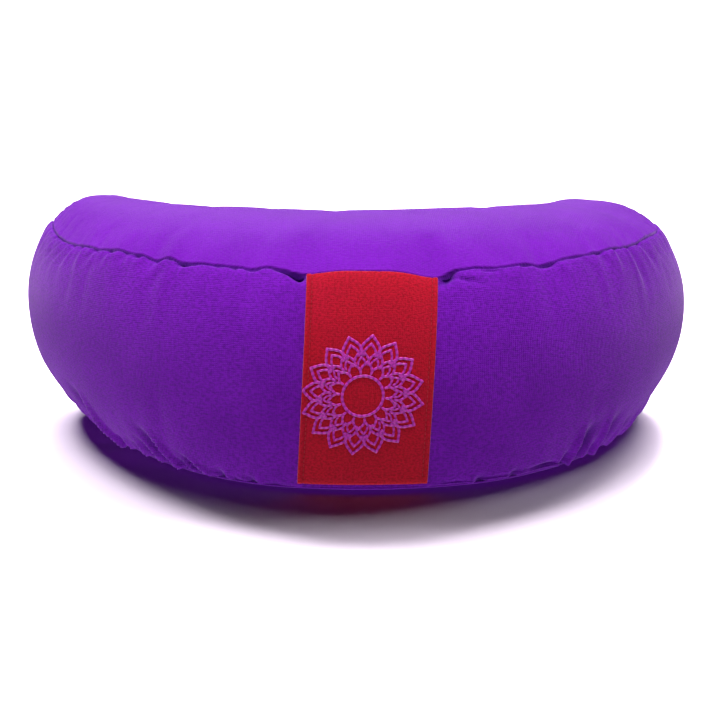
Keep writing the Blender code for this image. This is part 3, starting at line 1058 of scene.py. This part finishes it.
@dataclass
class CushionCase:
    """The filled case: top, band and underside as one closed mesh."""

    shape: CaseShape = field(default_factory=CaseShape)
    filling: FillingPress = field(default_factory=FillingPress)
    edge_length: float = 0.38
    wide_step: float = 2.6 * MM
    strap_step: float = 1.25 * MM
    horn_step: float = 1.75 * MM
    finest: float = 0.36 * MM
    fine: float = 1.0 * MM
    under_step: float = 9.0 * MM
    band_step: float = 3.2 * MM
    top_step: float = 4.2 * MM
    groove: float = 1.5 * MM
    groove_width: float = 0.75 * MM
    lip: Bump = Bump(1.3 * MM, 0.9 * MM, 0.28 * MM)
    foot_groove: float = 1.2 * MM
    foot_groove_width: float = 0.8 * MM
    foot_lips: tuple[Bump, ...] = (Bump(-1.6 * MM, 1.2 * MM, 0.5 * MM),
                                   Bump(2.2 * MM, 1.4 * MM, 0.3 * MM))
    pucker: Bump = Bump(0.9 * MM, 1.2 * MM, 1.0)
    pucker_depth: float = 1.1 * MM
    ripple_waves: tuple[Waves, ...] = (Waves(0.0042, 11, 0.20 * MM), Waves(0.0110, 13, 0.38 * MM))
    lump_waves: tuple[Waves, ...] = (Waves(0.075, 17, 0.9 * MM), Waves(0.033, 19, 0.35 * MM))
    drift: float = 1.5 * MM
    ripple_reach: float = 0.012
    ripple_stretch: float = 0.35
    lump_clear: float = 0.03
    strap_clear: float = 0.5 * MM
    strap_half: float = 0.0415
    strap_sharp: float = 14.0

    def station_step(self, distance: np.ndarray) -> np.ndarray:
        """Spacing along the seam: closer beside the strap and round the horns."""
        beside_strap = bell(distance - 0.050, 0.018, 4.0)
        on_horn = ease(distance, 0.10, 0.19)
        return np.minimum(blend(self.wide_step, self.strap_step, beside_strap),
                          blend(self.wide_step, self.horn_step, on_horn))

    def ring_runs(self) -> list[tuple[Panel, float]]:
        """Panel and run of each ring, from the middle of the underside to the crown.

        Returns:
            The rings in order, closer together beside the seams.
        """
        middle = self.shape.plan.front_at(np.array([0.09]))
        rings: list[tuple[Panel, float]] = []
        for panel, last, coarse in ((Panel.UNDER, 0.90, self.under_step),
                                    (Panel.BAND, 1.0, self.band_step),
                                    (Panel.TOP, 0.965, self.top_step)):
            runs = np.linspace(0.0, last, 400)
            points = np.array([self.shape.ring(middle, panel, run)[0] for run in runs])
            length = length_along(points)
            total = length[-1]

            def step(at: np.ndarray) -> np.ndarray:
                """Spacing of the rings, closest beside a seam."""
                nearest = np.minimum(at, total - at) if panel is Panel.BAND else at
                close = blend(self.finest, self.fine, ease(nearest, 1.2 * MM, 4.0 * MM))
                return blend(close, coarse, ease(nearest, 5.0 * MM, 22.0 * MM))

            placed = np.interp(graded(total, step), length, runs)
            order = {Panel.UNDER: placed[:0:-1], Panel.BAND: placed, Panel.TOP: placed[1:]}[panel]
            rings += [(panel, run) for run in order]
        return rings

    def seam_distances(self, grid: np.ndarray,
                       rings: list[tuple[Panel, float]]) -> tuple[np.ndarray, np.ndarray]:
        """Distance over the cloth from the top seam and from the bottom seam.

        Args:
            grid: The case's points, by ring and station.
            rings: Panel and run of each ring.

        Returns:
            Distance from the top seam, less than zero below it, and distance from the bottom
            seam, less than zero under it.
        """
        steps = np.linalg.norm(np.diff(grid, axis=0), axis=-1)
        length = np.concatenate([np.zeros((1, grid.shape[1])), np.cumsum(steps, axis=0)])
        top_row = rings.index((Panel.BAND, 1.0))
        foot_row = rings.index((Panel.BAND, 0.0))
        return length - length[top_row], length - length[foot_row]

    def relief(self, grid: np.ndarray, loop: Loop,
               rings: list[tuple[Panel, float]]) -> tuple[np.ndarray, np.ndarray]:
        """How far each point moves along its normal, and how much shade is painted into its
        colour.

        Args:
            grid: The smooth case's points, by ring and station.
            loop: The stations.
            rings: Panel and run of each ring.

        Returns:
            The move and the painted shade, by ring and station.
        """
        top, foot = self.seam_distances(grid, rings)
        from_top, from_foot = np.abs(top), np.abs(foot)
        around = np.broadcast_to(loop.around, top.shape)
        on_band = np.array([panel is Panel.BAND for panel, _ in rings])[:, None]
        on_top = np.array([panel is Panel.TOP for panel, _ in rings])[:, None]
        below = np.where(on_band, -top, FAR)
        above = np.where(on_band, foot, FAR)
        middle = blend(self.shape.strap_foot_x, self.shape.strap_top_x,
                       np.clip(foot / (foot - top + 1e-9), 0.0, 1.0))
        beside = grid[..., 0] - self.shape.shift_x - middle
        strap_side = bell(beside, self.strap_half, self.strap_sharp)
        under_strap = strap_side * np.broadcast_to(loop.front, top.shape) * on_band
        clear = 1.0 - under_strap

        pleats = sum(row.height(around, below) for row in TOP_PLEATS)
        foot_folds = sum(row.height(around, above) for row in FOOT_PLEATS)
        hollows = -sum(row.dent(around, below) for row in TOP_HOLLOWS)
        hollows -= sum(row.dent(around, above) for row in FOOT_HOLLOWS)
        drift = self.drift * line_noise(around, 0.020, 31)
        hollows -= sum(row.dent(around, top - drift, 4.0) for row in HORN_CREASES) * on_top
        ripples = self.ripples(around, np.minimum(from_top, foot))
        ripples *= np.exp(-np.minimum(from_top, from_foot) / self.ripple_reach) * loop.settled
        ripples *= blend(0.55, 1.0, ease(np.abs(around), 0.14, 0.23))
        puckers = np.clip(line_noise(around, 0.0038, 29) - 0.15, 0.0, 1.0) * loop.settled
        puckers = puckers * self.pucker.over(below)
        lumps = sum(waves.over(grid) for waves in self.lump_waves)
        lumps *= ease(from_top, 0.0, self.lump_clear) * ease(from_foot, 0.0, self.lump_clear)

        top_row = rings.index((Panel.BAND, 1.0))
        held = (under_strap > 0.5) | (foot <= 0.0) | (np.arange(len(rings)) == top_row)[:, None]
        held[-1] = True
        press = self.filling.push(grid, held, (rings.index((Panel.BAND, 0.0)), top_row))

        pull = 0.80 + 0.35 * line_noise(around, 0.010, 7) * loop.settled
        seam_line = np.exp(-from_top / self.groove_width)
        foot_line = np.exp(-from_foot / self.foot_groove_width)
        move = clear * (press + pleats + foot_folds + hollows + ripples + lumps)
        foot_lips = sum(lip.over(foot) for lip in self.foot_lips)
        move += clear * (foot_lips - self.foot_groove * foot_line)
        move -= clear * self.pucker_depth * puckers
        move -= self.groove * pull * seam_line * blend(1.0, 0.5, under_strap)
        move += self.lip.over(top) * on_top
        move -= self.strap_clear * under_strap
        floor = ease(grid[..., 2], 0.2 * MM, 4.0 * MM)

        # Painted shade: darker colour in the seam grooves, puckers, dents and pleat troughs, and
        # on the underside past the bottom seam.
        painted_shade = 0.80 * np.exp(-from_top / (0.6 * MM)) + 0.5 * foot_line + 0.5 * puckers
        painted_shade -= (hollows + 0.5 * np.minimum(pleats, 0.0)) / (5.0 * MM)
        painted_shade -= np.minimum(foot_folds, 0.0) / (3.2 * MM)
        painted_shade += 0.7 * ease(-foot, 1.0 * MM, 5.0 * MM) * (1.0 - on_band) * (1.0 - on_top)
        return move * np.where(on_band | on_top, 1.0, floor), np.clip(painted_shade * clear, 0.0, 1.0)

    def ripples(self, around: np.ndarray, away: np.ndarray) -> np.ndarray:
        """Small waves in the cloth that run out from the seams."""
        place = np.stack([around, away * self.ripple_stretch, np.zeros_like(away)], axis=-1)
        return sum(waves.over(place) for waves in self.ripple_waves)

    def faces(self, ring_count: int, station_count: int) -> list[tuple[int, ...]]:
        """Quads between the rings, and strips that close the underside and the crown."""
        faces = tube_faces(ring_count, station_count)
        half = station_count // 2
        for start, up in ((0, False), ((ring_count - 1) * station_count, True)):
            for i in range(half - 1):
                quad = (start + i, start + i + 1, start + station_count - 2 - i,
                        start + station_count - 1 - i)
                faces.append(quad if up else quad[::-1])
        return faces

    def add_cloth_places(self, mesh: bpy.types.Mesh, grid: np.ndarray, loop: Loop,
                         rings: list[tuple[Panel, float]], foot: np.ndarray) -> None:
        """Store where each face corner lies on its flat panel, for the weave to follow.

        Args:
            mesh: The case's mesh.
            grid: Its points, by ring and station.
            loop: The stations.
            rings: Panel and run of each ring.
            foot: Distance of each point from the bottom seam.
        """
        flat = grid[..., :2].reshape(-1, 2)
        band = np.stack([np.broadcast_to(loop.around, foot.shape), foot], axis=-1).reshape(-1, 2)
        corners = np.empty(len(mesh.loops), dtype=np.int32)
        mesh.loops.foreach_get("vertex_index", corners)
        station_count = grid.shape[1]
        first_band = rings.index((Panel.BAND, 0.0))
        last_band = rings.index((Panel.BAND, 1.0))
        starts = np.empty(len(mesh.polygons), dtype=np.int32)
        mesh.polygons.foreach_get("loop_start", starts)
        ring_of_face = corners[starts] // station_count
        is_band = (ring_of_face >= first_band) & (ring_of_face < last_band)
        is_band[(len(rings) - 1) * station_count:] = False
        on_band = np.repeat(is_band, 4)
        place = np.where(on_band[:, None], band[corners], flat[corners] + 0.7)
        spots = place[:, 0].reshape(-1, 4)
        ordered = np.sort(loop.around)
        round_trip = ordered[-1] - ordered[0] + (ordered[1] - ordered[0])
        crossing = on_band.reshape(-1, 4) & (np.ptp(spots, axis=1)[:, None] > 0.5 * round_trip)
        place[:, 0] = np.where(crossing & (spots < 0.0), spots + round_trip, spots).ravel()
        which = np.where(on_band, 0.0, PANEL_MARK)[:, None]
        add_places(mesh, "CORNER", np.concatenate([place, which], axis=1))

    def build(self) -> bpy.types.Object:
        """Returns:
            The case.
        """
        share = graded(self.edge_length, self.station_step, open_end=True) / self.edge_length
        loop = self.shape.plan.loop(share)
        rings = self.ring_runs()
        grid = np.array([self.shape.ring(loop, panel, run) for panel, run in rings])
        move, painted_shade = self.relief(grid, loop, rings)
        foot = self.seam_distances(grid, rings)[1]
        moved = grid + steepest(grid) * move[..., None]
        moved[..., 2] = np.maximum(moved[..., 2], 0.0)
        case = make_piece("cushion_case", moved.reshape(-1, 3), self.faces(*grid.shape[:2]),
                          CASE_COTTON.build())
        self.add_cloth_places(case.data, grid, loop, rings, foot)
        # Painted shade, darkening the case's colour in its seams, creases and underneath.
        add_number(case.data, "painted_shade", painted_shade)
        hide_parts("cushion")
        return case


# ---------------------------------------------------------------- the strap


@dataclass
class Strap:
    """Folded cotton strap on the middle of the band, sewn into both seams."""

    shape: CaseShape = field(default_factory=CaseShape)
    width: float = 79.0 * MM
    thick: float = 1.5 * MM
    gap: float = 0.2 * MM
    edge: float = 0.8 * MM
    stitch_in: float = 3.5 * MM
    stitch_groove: Bump = Bump(3.5 * MM, 0.8 * MM, -0.40 * MM)
    hem: Bump = Bump(1.7 * MM, 1.0 * MM, 0.18 * MM)
    fold: Bump = Bump(4.0 * MM, 1.1 * MM, -0.30 * MM)
    waves: Waves = Waves(0.017, 23, 0.22 * MM)
    tuck_depth: float = 1.5 * MM
    sewn_depth: float = 0.6 * MM
    foot_run: float = 0.025

    def __post_init__(self) -> None:
        """Measure the band's face once, from the top seam down."""
        runs = np.linspace(1.0, self.foot_run, 600)
        middle = blend(self.shape.strap_foot_x, self.shape.strap_top_x, runs)
        face = self.shape.ring(self.shape.plan.front_at(middle), Panel.BAND, runs)
        self.down_table = length_along(face)
        self.run_table = runs
        half = self.width / 2.0
        sides = [self.shape.ring(self.shape.plan.front_at(middle + x), Panel.BAND, runs)
                 for x in (-half, half)]
        self.share_table = self.width / np.linalg.norm(sides[1] - sides[0], axis=1)

    @property
    def length(self) -> float:
        """Length of the strap between the seams."""
        return float(self.down_table[-1])

    def face(self, across: np.ndarray, down: np.ndarray) -> np.ndarray:
        """Points of the band's face under the strap."""
        run = np.interp(down, self.down_table, self.run_table)
        share = np.interp(down, self.down_table, self.share_table)
        x = blend(self.shape.strap_foot_x, self.shape.strap_top_x, run) + across * share
        return self.shape.ring(self.shape.plan.front_at(x), Panel.BAND, run)

    def place(self, across: np.ndarray, down: np.ndarray, lift: np.ndarray) -> np.ndarray:
        """Points at a height over the band's face.

        Args:
            across: Distance from the strap's middle line, to the right.
            down: Distance below the top seam.
            lift: Height over the face.

        Returns:
            One point for each.
        """
        across = np.asarray(across, dtype=float).ravel()
        down = np.asarray(down, dtype=float).ravel()
        lift = np.asarray(lift, dtype=float).ravel()
        tiny = 0.4 * MM
        here = self.face(across, down)
        right = self.face(across + tiny, down) - self.face(across - tiny, down)
        low = np.minimum(down + tiny, self.length)
        high = np.maximum(down - tiny, 0.0)
        upward = self.face(across, high) - self.face(across, low)
        normal = np.cross(right, upward)
        normal /= np.linalg.norm(normal, axis=1, keepdims=True)
        return here + normal * lift[:, None]

    def round_edge(self, inset: np.ndarray) -> np.ndarray:
        """Share of the full thickness at a distance in from the strap's edge."""
        return np.sqrt(1.0 - np.clip(1.0 - inset / self.edge, 0.0, 1.0) ** 2)

    def outer(self, across: np.ndarray, down: np.ndarray) -> np.ndarray:
        """Height of the strap's outer face over the band."""
        inset = self.width / 2.0 - np.abs(across)
        height = self.gap + self.thick * (0.5 + 0.5 * self.round_edge(inset))
        height = height + self.stitch_groove.over(inset) + self.hem.over(inset)
        place = np.stack([across, down, np.zeros_like(across)], axis=-1)
        height = height + self.waves.over(place) * ease(inset, 0.0, 0.004)
        height = height + self.fold.over(across - 0.02 * down) * (1.0 - ease(down, 0.03, 0.055))
        tucked = 1.0 - ease(down, 0.0, 1.6 * MM)
        sewn = ease(down, self.length - 4.0 * MM, self.length)
        return height - self.tuck_depth * tucked - self.sewn_depth * sewn

    def inner(self, across: np.ndarray, down: np.ndarray) -> np.ndarray:
        """Height of the strap's inner face over the band."""
        inset = self.width / 2.0 - np.abs(across)
        height = self.gap + self.thick * 0.5 * (1.0 - self.round_edge(inset))
        return np.minimum(height, self.outer(across, down) - 0.25 * MM)

    def build(self) -> bpy.types.Object:
        """Returns:
            The strap.
        """
        half = self.width / 2.0

        def column_step(at: np.ndarray) -> np.ndarray:
            """Spacing across the strap, closest at its edge."""
            wider = blend(0.22 * MM, 1.8 * MM, ease(at, 2.0 * MM, 9.0 * MM))
            return wider + 0.25 * MM * ease(at, 0.8 * MM, 1.6 * MM)

        def row_step(at: np.ndarray) -> np.ndarray:
            """Spacing down the strap, closest at its tucked end."""
            return blend(0.5 * MM, 1.7 * MM, ease(at, 2.0 * MM, 8.0 * MM))

        inset = graded(half, column_step)
        columns = np.concatenate([inset - half, (half - inset)[-2::-1]])
        rows = graded(self.length, row_step)
        across, down = np.meshgrid(columns, rows)
        outer = self.place(across, down, self.outer(across, down)).reshape(len(rows), -1, 3)
        inner = self.place(across, down, self.inner(across, down)).reshape(len(rows), -1, 3)
        ring = np.concatenate([outer, inner[:, -2:0:-1]], axis=1)
        count = ring.shape[1]
        faces = [quad[::-1] for quad in tube_faces(len(rows), count)]
        wide = len(columns)
        for start, up in ((0, True), ((len(rows) - 1) * count, False)):
            for i in range(wide - 1):
                places = (i, i + 1, (count - i - 1) % count, (count - i) % count)
                quad = tuple(start + k for k in dict.fromkeys(places))
                faces.append(quad if up else quad[::-1])
        strap = make_piece("front_strap", ring.reshape(-1, 3), faces, STRAP_COTTON.build())
        around = np.concatenate([columns, columns[-2:0:-1] + 0.2])
        cloth = np.stack(np.meshgrid(around, rows) + [np.zeros((len(rows), count))], axis=-1)
        add_places(strap.data, "POINT", cloth)
        # Painted shade: the strap's colour darkens along the grooves of its topstitching.
        inset = half - np.abs(np.concatenate([columns, columns[-2:0:-1]]))
        painted_shade = bell(inset - self.stitch_in, 0.7 * MM)
        add_number(strap.data, "painted_shade", np.broadcast_to(0.35 * painted_shade, (len(rows), count)))
        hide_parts("strap")
        return strap


# A thread's section: how far to the side and how high, as shares of its half width and height.
THREAD_PROFILE = ((-1.0, -0.25), (-0.80, 0.62), (0.0, 1.0), (0.80, 0.62), (1.0, -0.25))


@dataclass
class StitchLine:
    """Thread laid on the strap along a line, as a half-round bead."""

    strap: Strap
    step: float = 0.36 * MM
    points: list[np.ndarray] = field(default_factory=list)
    faces: list[tuple[int, ...]] = field(default_factory=list)
    lengths: list[np.ndarray] = field(default_factory=list)
    count: int = 0

    def lay(self, line: np.ndarray, width: float, height: float, bead: float,
            closed: bool = False) -> None:
        """Add one line of thread.

        Args:
            line: Places on the strap, across and down.
            width: Width of the thread line.
            height: How far it stands over the strap.
            bead: Distance between stitches, which swell between their ends.
            closed: Whether the line ends where it starts.
        """
        if closed:
            line = np.concatenate([line, line[:1]])
        length = length_along(line)
        number = max(int(length[-1] / self.step), 5)
        at = np.linspace(0.0, length[-1], number + 1)
        if closed:
            at = at[:-1]
        path = np.stack([np.interp(at, length, line[:, i]) for i in range(2)], axis=-1)
        if closed:
            tangent = np.roll(path, -1, axis=0) - np.roll(path, 1, axis=0)
        else:
            tangent = np.gradient(path, axis=0)
        tangent /= np.linalg.norm(tangent, axis=1, keepdims=True)
        side = np.stack([-tangent[:, 1], tangent[:, 0]], axis=-1)
        swell = 0.80 + 0.20 * np.abs(np.sin(np.pi * at / bead))
        taper = np.ones_like(at)
        if not closed:
            taper = np.sqrt(np.clip(np.minimum(at, length[-1] - at) / (0.5 * width), 0.05, 1.0))
        laid = []
        for offset, rise in THREAD_PROFILE:
            across, down = (path + side * (offset * width / 2.0 * swell * taper)[:, None]).T
            lift = self.strap.outer(across, down) + rise * height * swell * taper
            laid.append((across, down, lift))
        placed = self.strap.place(*(np.stack(values, axis=1) for values in zip(*laid)))
        rows, wide = len(at), len(THREAD_PROFILE)
        faces = tube_faces(rows, wide, closed)
        if not closed:
            faces.append(tuple(range(wide))[::-1])
            faces.append(tuple(range((rows - 1) * wide, rows * wide)))
        self.faces += [tuple(self.count + k for k in face) for face in faces]
        self.points.append(placed)
        self.lengths.append(np.repeat(at, wide))
        self.count += len(placed)

    def build(self, name: str, finish: SpunThread, slot: str) -> bpy.types.Object:
        """Join every line into one piece."""
        piece = make_piece(name, np.concatenate(self.points), self.faces, finish.build())
        add_number(piece.data, "length", np.concatenate(self.lengths))
        return piece


@dataclass
class Topstitching:
    """A row of short stitches along each long edge of the strap."""

    strap: Strap
    long: float = 2.2 * MM
    pitch: float = 3.0 * MM
    width: float = 0.55 * MM
    height: float = 0.30 * MM

    def build(self) -> bpy.types.Object:
        """Make both rows as one piece."""
        line = StitchLine(self.strap)
        across = self.strap.width / 2.0 - self.strap.stitch_in
        for side in (-1.0, 1.0):
            down = 2.4 * MM
            while down + self.long < self.strap.length - 3.0 * MM:
                ends = np.array([[side * across, down], [side * across, down + self.long]])
                line.lay(ends, self.width, self.height, self.long)
                down += self.pitch
        return line.build("strap_topstitching", TOPSTITCHING, "sewing_thread")


@dataclass(frozen=True)
class PetalTier:
    """A ring of pointed lotus petals: how many, where they start and end, and their line.

    turn is how many petals the ring is turned by, fullness is a petal's width over its share of
    the ring, and echo is the scale of the line inside each outline, or 0 for none.
    """

    count: int
    turn: float
    inner: float
    outer: float
    fullness: float
    echo: float
    width: float


@dataclass
class LotusEmbroidery:
    """Traditional lotus mandala: an open ring with tiers of pointed petals round it."""

    strap: Strap
    across: float = -2.8 * MM
    down: float = 76.2 * MM
    ring: float = 12.3 * MM
    ring_width: float = 1.9 * MM
    echo_thin: float = 0.85
    height: float = 0.55 * MM
    bead: float = 3.2 * MM
    tiers: tuple[PetalTier, ...] = (
        PetalTier(14, 0.2, 13.4 * MM, 21.0 * MM, fullness=0.98, echo=0.0, width=1.6 * MM),
        PetalTier(16, 0.8, 18.5 * MM, 28.2 * MM, fullness=1.0, echo=0.55, width=1.6 * MM),
        PetalTier(16, 0.3, 24.0 * MM, 36.6 * MM, fullness=1.08, echo=0.62, width=1.8 * MM),
    )

    def polar(self, radius: np.ndarray, angle: np.ndarray) -> np.ndarray:
        """Places on the strap, across and down, round the motif's middle."""
        return np.stack([self.across + radius * np.cos(angle),
                         self.down + radius * np.sin(angle)], axis=-1)

    def petal(self, tier: PetalTier, index: int, scale: float) -> np.ndarray:
        """Outline of one petal, from its left foot over its point to its right foot.

        Args:
            tier: The ring that it belongs to.
            index: Which petal.
            scale: 1 for the outline, less for a line inside it.

        Returns:
            Places on the strap, across and down.
        """
        half = math.pi / tier.count * tier.fullness * scale
        length = (tier.outer - tier.inner) * scale
        t = np.linspace(0.0, 1.0, 24)
        weights = ((1 - t) ** 3, 3 * t * (1 - t) ** 2, 3 * t ** 2 * (1 - t), t ** 3)
        reach = sum(w * r for w, r in zip(weights, (0.0, 0.55, 0.72, 1.0))) * length + tier.inner
        swing = sum(w * a for w, a in zip(weights, (1.0, 1.18, 0.28, 0.0))) * half
        middle = (index + tier.turn) * 2.0 * math.pi / tier.count - math.pi / 2.0
        angle = np.concatenate([middle - swing, (middle + swing)[-2::-1]])
        return self.polar(np.concatenate([reach, reach[-2::-1]]), angle)

    def inside(self, line: np.ndarray) -> np.ndarray:
        """The part of a line that lies on the strap, clear of its edge."""
        limit = self.strap.width / 2.0 - 1.0 * MM
        return line[np.abs(line[:, 0]) < limit]

    def build(self) -> bpy.types.Object:
        """Make the whole motif as one piece."""
        line = StitchLine(self.strap)
        circle = self.polar(self.ring, np.linspace(0.0, 2.0 * np.pi, 181)[:-1])
        line.lay(circle, self.ring_width, self.height, self.bead, closed=True)
        for tier in self.tiers:
            for index in range(tier.count):
                for scale, thin in ((1.0, 1.0), (tier.echo, self.echo_thin)):
                    part = self.inside(self.petal(tier, index, scale)) if scale else ()
                    if len(part) > 3:
                        line.lay(part, tier.width * thin, self.height, self.bead)
        return line.build("lotus_embroidery", EMBROIDERY, "embroidery_thread")


# ---------------------------------------------------------------- studio


@dataclass(frozen=True)
class SoftLight:
    """A wide, distant studio light, and what it falls on.

    azimuth is measured from the front towards the right, elevation is above the floor, and spread
    is how wide the light looks from the cushion, all in degrees.
    """

    name: str
    azimuth: float
    elevation: float
    power: float
    spread: float
    falls_on: Lit


# Each row: name, azimuth, elevation, power, spread, what it falls on.
# Bright lights behind burn the floor out to white, except where the cushion hides all of them.
# The cushion has its own lights: a box overhead, weaker ones at its sides and behind, and the
# glow of the white floor from below, which would be far too bright if the floor gave it itself.
LIGHTS = tuple(SoftLight(*row) for row in (
    ("floor_key_right", 165.0, 36.0, 5.76, 8.0, Lit.FLOOR),
    ("floor_key_far_right", 150.0, 36.0, 3.06, 10.0, Lit.FLOOR),
    ("floor_key_left", 210.0, 36.0, 5.95, 10.0, Lit.FLOOR),
    ("floor_soft_right", 160.0, 42.0, 5.92, 14.0, Lit.FLOOR),
    ("floor_soft_left", 200.0, 42.0, 4.89, 14.0, Lit.FLOOR),
    ("floor_high", 170.0, 52.0, 2.53, 14.0, Lit.FLOOR),
    ("floor_high_right", 130.0, 48.0, 1.22, 16.0, Lit.FLOOR),
    ("floor_high_left", 210.0, 56.0, 0.57, 16.0, Lit.FLOOR),
    ("overhead_box", 0.0, 82.0, 4.30, 20.0, Lit.PIECES),
    ("front_fill", 0.0, 4.0, 0.25, 12.0, Lit.PIECES),
    ("left_fill", -95.0, 15.0, 1.3, 30.0, Lit.PIECES),
    ("right_fill", 95.0, 15.0, 0.75, 30.0, Lit.PIECES),
    ("back_rim", 180.0, 25.0, 0.9, 30.0, Lit.PIECES),
    ("floor_glow", 0.0, -70.0, 2.05, 30.0, Lit.PIECES),
))


@dataclass
class Studio:
    """White floor and background, soft studio lights and the camera."""

    aim: Vector = field(default_factory=lambda: Vector((0.0031, 0.0100, 0.06)))
    distance: float = 1.45
    azimuth: float = -1.517
    elevation: float = 12.445
    lens: float = 108.7
    aim_right: float = -0.0021
    aim_down: float = 0.0096
    ambient: float = 0.0
    floor_half: float = 20.0

    def add_floor(self) -> None:
        """Plain pale floor that isn't part of the object. Its lilac tint is painted purple bounce
        light: where lit it burns out to white, and it shows only in the shadow.
        """
        half, low = self.floor_half, -0.3 * MM
        corners = np.array([(-half, -half, low), (half, -half, low), (half, half, low),
                            (-half, half, low)])
        floor = add_mesh("studio_floor", corners, [(0, 1, 2, 3)])
        material, _, shader = start_material("studio_floor_painted_bounce")
        # Painted bounce light: the lilac tint colours the shadow the way purple light from the
        # cushion would.
        shader.inputs["Base Color"].default_value = (0.55, 0.48, 0.57, 1.0)
        shader.inputs["Roughness"].default_value = 1.0
        shader.inputs["Specular IOR Level"].default_value = 0.0
        floor.data.materials.append(material)
        lit_group(Lit.FLOOR).objects.link(floor)
        floor.visible_diffuse = False

    def direction(self, azimuth: float, elevation: float) -> Vector:
        """Direction from the cushion, by azimuth from the front and by elevation, in degrees."""
        turn, rise = math.radians(azimuth), math.radians(elevation)
        level = math.cos(rise)
        return Vector((math.sin(turn) * level, -math.cos(turn) * level, math.sin(rise)))

    def add_light(self, row: SoftLight) -> None:
        """Add one soft light."""
        data = bpy.data.lights.new(row.name, "SUN")
        data.energy = row.power
        data.angle = math.radians(row.spread)
        light = bpy.data.objects.new(row.name, data)
        light.rotation_mode = "QUATERNION"
        towards = self.direction(row.azimuth, row.elevation)
        light.rotation_quaternion = towards.to_track_quat("Z", "Y")
        light.light_linking.receiver_collection = lit_group(row.falls_on)
        light.light_linking.blocker_collection = lit_group(Lit.PIECES)
        bpy.context.scene.collection.objects.link(light)

    def add_world(self) -> None:
        """Even light from all round, behind a plain white background."""
        world = bpy.data.worlds.new("studio_world")
        bpy.context.scene.world = world
        world.use_nodes = True
        tree = world.node_tree
        background = tree.nodes["Background"]
        path = add_node(tree, "ShaderNodeLightPath")
        strength = add_node(tree, "ShaderNodeMapRange", {"To Min": self.ambient, "To Max": 1.0},
                            {"Value": path.outputs["Is Camera Ray"]})
        background.inputs["Color"].default_value = (1.0, 1.0, 1.0, 1.0)
        tree.links.new(strength.outputs["Result"], background.inputs["Strength"])

    def add_camera(self) -> None:
        """Camera at the front, a little above the cushion."""
        back = self.direction(self.azimuth, self.elevation)
        place = self.aim + back * self.distance
        right = self.direction(self.azimuth + 90.0, 0.0)
        up = right.cross(-back)
        target = self.aim + right * self.aim_right - up * self.aim_down
        data = bpy.data.cameras.new("studio_camera")
        data.lens = self.lens
        camera = bpy.data.objects.new("studio_camera", data)
        camera.location = place
        camera.rotation_mode = "QUATERNION"
        camera.rotation_quaternion = (place - target).to_track_quat("Z", "Y")
        bpy.context.scene.collection.objects.link(camera)
        bpy.context.scene.camera = camera

    def build(self) -> None:
        """Set up the floor, the lights, the background and the camera."""
        self.add_floor()
        self.add_world()
        for row in LIGHTS:
            self.add_light(row)
        self.add_camera()
        bpy.context.scene.view_settings.view_transform = "Standard"


def main() -> None:
    """Build the studio and every piece of the cushion."""
    logging.basicConfig(level=logging.INFO, format="%(name)s: %(message)s")
    Studio().build()
    CushionCase().build()
    strap = Strap()
    sheet = strap.build()
    stitching = Topstitching(strap).build()
    motif = LotusEmbroidery(strap).build()


if __name__ == "__main__":
    main()
